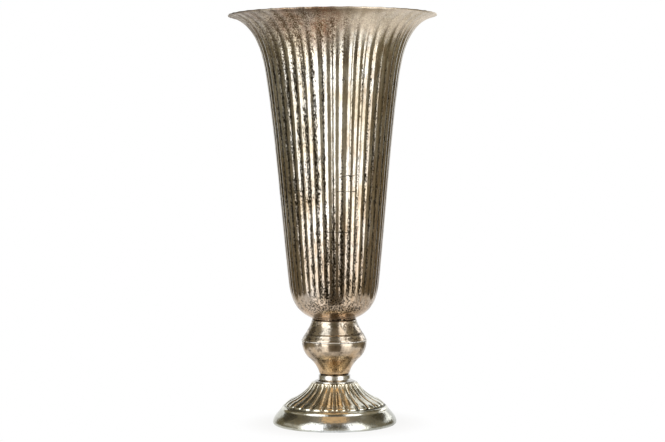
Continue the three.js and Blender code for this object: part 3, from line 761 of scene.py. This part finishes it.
def footPoints(foot):
    wall, hem, height, inside = foot["wall"], foot["radius"] - foot["wall"], foot["height"], foot["insideOxide"]
    borderTop = (foot["radius"] - foot["borderWidth"], foot["borderHeight"])
    beadTop = (borderTop[0] - foot["beadWidth"], borderTop[1] + foot["beadRise"])
    end = (foot["endRadius"], foot["endHeight"])
    bulge = (end[0] - foot["bulgeWidth"], end[1] + foot["bulgeRise"])
    neck = (foot["topRadius"] + foot["topOut"], height - foot["topDrop"])
    startUp, endOut, endUp = foot["borderPull"]
    border = bezier((foot["radius"], wall), (foot["radius"], wall + (borderTop[1] - wall) * startUp),
                    (borderTop[0] + foot["borderWidth"] * endOut, borderTop[1] * endUp), borderTop, foot["borderSteps"])
    startIn, startUp, endOut, endDown = foot["beadPull"]
    bead = bezier(borderTop, (borderTop[0] - startIn, borderTop[1] + foot["beadRise"] * startUp),
                  (beadTop[0] + endOut, beadTop[1] - foot["beadRise"] * endDown), beadTop, foot["beadSteps"])
    crests = curve(end, bulge, foot["bulgeHandles"], foot["bulgeSteps"])
    crests += curve(bulge, neck, foot["flankHandles"], foot["flankSteps"])[1:]
    normals = outlineNormals(crests)

    def depth(r):
        share = (r - neck[0]) / (end[0] - neck[0])
        return foot["depthTop"] + share * (foot["depthEnd"] - foot["depthTop"])

    def plain(outline, oxide=0.0):
        return [stripPoint(p[0], p[1], oxide=oxide) for p in outline]

    # crests run from their round lower ends up to the edge of the flat top
    def reeds(inset):
        made, run = [], 0
        for i, ((r, z), normal) in enumerate(zip(crests, normals)):
            if i:
                run += (Vector(crests[i]) - Vector(crests[i - 1])).length
            deep = depth(r)
            made.append(stripPoint(r - normal.x * inset, z - normal.y * inset, (-normal.x * deep, -normal.y * deep),
                                   max(0, 1 - run / foot["endLength"]) ** 3, fluted=1.0))
        return made

    grooveStart = tuple(Vector(crests[0]) - normals[0] * depth(crests[0][0]))
    hemStart, cut = (hem - foot["hemWidth"], 0), foot["hemEdge"]
    points = plain(rounded([hemStart, (foot["radius"] - cut, 0, foot["hemRound"]),
                            (foot["radius"], cut, foot["hemRound"]), border[1]])[:-1])
    points += plain(border[1:-1]) + plain(border[-1:], foot["borderOxide"]) + plain(bead[1:-1])
    # dark hollow between the bead and the ends of the flutes
    beadRound, hollowRound = foot["hollowRounds"]
    hollow = [bead[-2], beadTop + (beadRound,),
              (grooveStart[0] + foot["hollowOut"], beadTop[1] - foot["hollowDrop"], hollowRound), grooveStart]
    points += plain(rounded(hollow)[1:-1], foot["hollowOxide"])
    points += reeds(0)
    # the flutes fade out over the rounded edge of the flat top
    edge = rounded([crests[-1], (foot["topRadius"], height, foot["topRound"]), (foot["hole"], height)],
                   foot["topSteps"])
    for i, (r, z) in enumerate(edge[1:], 1):
        keep = max(0, 1 - i / (foot["topSteps"] + 1)) * foot["depthTop"]
        points.append(stripPoint(r, z, [share * keep for share in foot["topDip"]], fluted=keep / foot["depthTop"]))
    # underside, one wall in and with fewer points
    inner = reeds(wall)[::-2]
    corner = (inner[0]["r"] - foot["insideRound"], height - wall, foot["insideRound"])
    points += plain(rounded([(foot["hole"], height - wall), corner, (inner[0]["r"], inner[0]["z"])])[:-1], inside)
    points += [dict(point, oxide=inside) for point in inner]
    low = innerSide([hemStart, (hem, 0)] + border[::3] + [beadTop, end], wall)
    points += plain(low[-2:0:-1] + [(hemStart[0], wall)], inside)
    return points


foot = flutedPiece("flutedFoot", footPoints(flutedFoot), flutedFoot, footPlate)
finish(foot, "foot")


# collar and knops

collarLow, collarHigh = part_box("collar")
turnedCollar = {"seat": collarLow.z / mm, "top": collarHigh.z / mm, "radius": 16.0, "skirtRadius": 20.0,
                "skirtHeight": 4.4, "skirtEdge": 0.25, "skirtPull": (0.4, 0.35, 0.6), "skirtRounds": (0.3, 0.4),
                "skirtSteps": 12, "edge": 0.9, "edgeRound": 0.5, "hole": 4.4, "columns": 160}


def collarSection(collar):
    seat, top, wide, slim = collar["seat"], collar["top"], collar["skirtRadius"], collar["radius"]
    tall, edge, edgeRound = collar["skirtHeight"], collar["edge"], collar["edgeRound"]
    (startOut, startUp, endUp), (seatRound, skirtRound) = collar["skirtPull"], collar["skirtRounds"]
    skirtTop = seat + tall * collar["skirtEdge"]
    spread = bezier((wide, skirtTop), (slim + (wide - slim) * startOut, seat + tall * startUp),
                    (slim, seat + tall * endUp), (slim, seat + tall), collar["skirtSteps"])
    corners = [(collar["hole"], seat), (wide, seat, seatRound), (wide, skirtTop, skirtRound)] + spread[1:]
    return rounded(corners + [(slim, top - edge, edgeRound), (slim - edge, top, edgeRound), (collar["hole"], top)])


collar = turnedPiece("turnedCollar", collarSection(turnedCollar), turnedCollar["columns"], collarPlate)
finish(collar, "collar")

upperLow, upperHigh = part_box("upper_knop")
knops = {"wall": 1.2, "fit": 0.3, "hole": 4.4, "waistRadius": 15.3, "beadRadius": 33.0, "beadHeight": 1.2,
         "beadStep": 0.8, "overhang": 0.3, "spigotRelief": 0.4, "turnRadius": 26.2, "turnHeight": 17.0,
         "hollowHandles": ((0.13, 0.38), (0.52, 0.74)), "bellyHandles": ((0.68, 0.27), (1.0, 0.66)),
         "flankHandles": ((0.32, 0.31), (0.92, 0.69)), "hollowSteps": 22, "bellySteps": 20, "flankSteps": 44,
         "topRadius": 22.8, "topRound": 0.5, "lowerRounds": (0.4, 0.6, 0.35, 0.3), "beadCut": (0.5, 0.35),
         "beadRounds": (0.3, 0.4), "beadEdge": 0.2, "beadJoin": 0.1,
         "ringHeight": 6.6, "ringRise": 0.22, "ringWidth": 0.9, "lineHeight": 8.1, "lineDepth": 0.10, "lineWidth": 0.45,
         "lowerSeat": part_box("lower_knop")[0].z / mm, "upperSeat": upperLow.z / mm, "top": upperHigh.z / mm,
         "seamOxide": 0.95, "waistSeam": 1.0, "topSeam": 0.4, "beadRubbedAndHighlight": -1.0, "columns": 192}


def lowerKnopSection(knop):
    seat, seam = knop["lowerSeat"], knop["upperSeat"] - knop["fit"]
    seamRadius = knop["beadRadius"] - knop["overhang"]
    spigot = knop["beadRadius"] - knop["wall"] - knop["fit"]
    waist = (knop["waistRadius"], seat + knop["wall"])
    turn = (knop["turnRadius"], seat + knop["turnHeight"])
    hollow = curve(waist, turn, knop["hollowHandles"], knop["hollowSteps"])
    belly = curve(turn, (seamRadius, seam), knop["bellyHandles"], knop["bellySteps"])
    seatRound, waistRound, seamRound, spigotRound = knop["lowerRounds"]
    outline = [(knop["hole"], seat), (knop["waistRadius"] - knop["wall"], seat, seatRound), waist + (waistRound,)]
    outline += hollow[1:] + belly[1:-1] + [(seamRadius, seam, seamRound), (spigot, seam, spigotRound)]
    outline += [(spigot, seam + knop["beadHeight"] - knop["spigotRelief"])]
    return rounded(outline) + rounded(innerSide(outline, knop["wall"]))[::-1]


def upperKnopSection(knop):
    seat, top, bead = knop["upperSeat"], knop["top"], knop["beadRadius"]
    beadTop = seat + knop["beadHeight"]
    start = (bead - knop["beadStep"], beadTop + knop["beadStep"])
    flank = curve(start, (knop["topRadius"], top - knop["wall"]), knop["flankHandles"], knop["flankSteps"])
    worked = []
    for r, z in flank:
        # a low ring and a fine scribed line above the bead
        r += knop["ringRise"] * math.exp(-((z - seat - knop["ringHeight"]) / knop["ringWidth"]) ** 2)
        r -= knop["lineDepth"] * math.exp(-((z - seat - knop["lineHeight"]) / knop["lineWidth"]) ** 2)
        worked.append((r, z))
    topEdge, topHole = (knop["topRadius"] - knop["wall"], top), (knop["hole"], top)
    (cutIn, cutUp), (lowRound, highRound), join = knop["beadCut"], knop["beadRounds"], knop["beadJoin"]
    outline = [(bead - cutIn, seat), (bead, seat + cutUp, lowRound), (bead, beadTop - knop["beadEdge"], highRound),
               (worked[0][0] + join, beadTop + join, highRound)] + worked[1:] + [topEdge + (knop["topRound"],), topHole]
    plain = [(bead, seat), (bead, beadTop)] + flank[::4] + [topEdge, topHole]  # without the ring, for the inside
    return rounded(outline) + innerSide(plain, knop["wall"])[::-1]


# old polish stays dark along the seams, and the bead is rubbed bright: wear, and a painted highlight as well
lowerSection, upperSection = lowerKnopSection(knops), upperKnopSection(knops)
darkTo, darkFrom = knops["lowerSeat"] + knops["waistSeam"], knops["top"] - knops["topSeam"]
rubbedAndHighlightTo = knops["upperSeat"] + knops["beadHeight"]
lowerShade = [knops["seamOxide"] if z < darkTo else 0.0 for r, z in lowerSection]
upperShade = [knops["seamOxide"] if z > darkFrom else knops["beadRubbedAndHighlight"] if z < rubbedAndHighlightTo else 0.0
              for r, z in upperSection]
lowerKnop = turnedPiece("lowerKnopShell", lowerSection, knops["columns"], knopPlate, lowerShade)
finish(lowerKnop, "lower_knop")
upperKnop = turnedPiece("upperKnopShell", upperSection, knops["columns"], knopPlate, upperShade)
finish(upperKnop, "upper_knop")


# fastenings inside

def ringSection(node, hole, radius, edge):
    low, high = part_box(node)
    bottom, top = low.z / mm, high.z / mm
    return rounded([(hole, bottom, edge), (radius, bottom, edge), (radius, top, edge), (hole, top, edge)], closed=True)


washers = {"bowlRadius": 12.0, "footRadius": 15.0, "sealRadius": 13.0, "hole": 4.4, "stampedEdge": 0.25,
           "mouldedEdge": 0.6, "columns": 72}
for name, node, radius, edge, material, slotName in (
        ("rubberSeal", "bowl_seal", "sealRadius", "mouldedEdge", sealRubber, "black_rubber"),
        ("bowlWasher", "bowl_washer", "bowlRadius", "stampedEdge", zincSteel, "zinc_steel"),
        ("footWasher", "foot_washer", "footRadius", "stampedEdge", zincSteel, "zinc_steel")):
    section = ringSection(node, washers["hole"], washers[radius], washers[edge])
    finish(turnedPiece(name, section, washers["columns"], material), node)

hexNut = {"flats": 13.0, "bore": 4.3, "countersink": 0.5, "chamferShare": 0.94, "chamferSlope": 0.55, "columns": 72,
          "sharp": 20}


# hexagon with its corners cut back by a cone above and below
def nutPiece(name, node):
    low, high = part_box(node)
    bottom, top, bore, sunk = low.z / mm, high.z / mm, hexNut["bore"], hexNut["countersink"]
    face = hexNut["flats"] / 2 * hexNut["chamferShare"]
    sections = []
    for column in range(hexNut["columns"]):
        turn = column / hexNut["columns"] * math.tau
        beside = turn % (math.pi / 3) - math.pi / 6
        reach = hexNut["flats"] / 2 / math.cos(beside)
        drop = (reach - face) * hexNut["chamferSlope"]
        sections.append((turn, [(bore + sunk, bottom), (face, bottom), (reach, bottom + drop), (reach, top - drop),
                                (face, top), (bore + sunk, top), (bore, top - sunk), (bore, bottom + sunk)]))
    finish(roundPiece(name, sections, zincSteel, sharp=hexNut["sharp"]), node)


nutPiece("bowlNut", "bowl_nut")
nutPiece("footNut", "foot_nut")

springWasher = {"radius": 7.4, "hole": 4.4, "split": 16.0, "edge": 0.2, "columns": 72, "sharp": 40}
section = ringSection("foot_lock_washer", springWasher["hole"], springWasher["radius"], springWasher["edge"])
half, columns = math.radians(springWasher["split"]) / 2, springWasher["columns"]
sections = [(half + column / columns * (math.tau - 2 * half), section) for column in range(columns + 1)]
spring = roundPiece("springWasher", sections, zincSteel, closed=False, sharp=springWasher["sharp"])
finish(spring, "foot_lock_washer")

# threaded rod: the strip gives the free radius at each height, and the tree cuts the thread into it
threadedRod = {"radius": 4.0, "pitch": 1.25, "depth": 0.6, "chamfer": 0.8, "stepsPerPitch": 6, "columns": 28}

tree, threadKeys, given = openSweep("threadedRod", {
    "Columns": "Int", "Pitch": "Float", "Thread depth": "Float", "Core radius": "Float"})
grid, column, row, place = sweepGrid(tree, given["Section"], given["Columns"], False)
parts = addNode(tree, "SeparateXYZ", [place]).outputs
turnShare = addNode(tree, "Math", [column, given["Columns"]], operation="DIVIDE")
climb = addNode(tree, "Math", [parts["Z"], given["Pitch"]], operation="DIVIDE")
phase = addNode(tree, "Math", [climb, turnShare], operation="SUBTRACT")
tooth = addNode(tree, "Math", [phase, 0.5], operation="PINGPONG")
cut = addNode(tree, "Math", [tooth, given["Thread depth"]], operation="MULTIPLY")
crestRadius = addNode(tree, "Math", [cut, 2.0, given["Core radius"]], operation="MULTIPLY_ADD")
radius = addNode(tree, "Math", [crestRadius, parts["X"]], operation="MINIMUM")
angle = addNode(tree, "Math", [turnShare, math.tau], operation="MULTIPLY")
threadTree = closeSweep(tree, grid, radius, parts["Z"], angle, given["Finish"])

rodLow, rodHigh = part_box("tie_rod")
bottom, top = rodLow.z / mm, rodHigh.z / mm
cutBack = threadedRod["radius"] - threadedRod["chamfer"]
stops = int((top - bottom) / (threadedRod["pitch"] / threadedRod["stepsPerPitch"]))
outline = [(0, bottom), (cutBack, bottom)]
for i in range(1, stops):
    z = bottom + (top - bottom) * i / stops
    outline.append((min(threadedRod["radius"], cutBack + z - bottom, cutBack + top - z), z))
outline += [(cutBack, top), (0, top)]
strip = bpy.data.meshes.new("rodSection")
strip.from_pydata([(r * mm, 0, z * mm) for r, z in outline], [(i, i + 1) for i in range(len(outline) - 1)], [])
rod = sweptPiece("threadedRod", strip, threadTree, threadKeys, {
    "Columns": threadedRod["columns"], "Pitch": threadedRod["pitch"] * mm, "Thread depth": threadedRod["depth"] * mm,
    "Core radius": (threadedRod["radius"] - threadedRod["depth"]) * mm, "Finish": zincSteel})
finish(rod, "tie_rod")
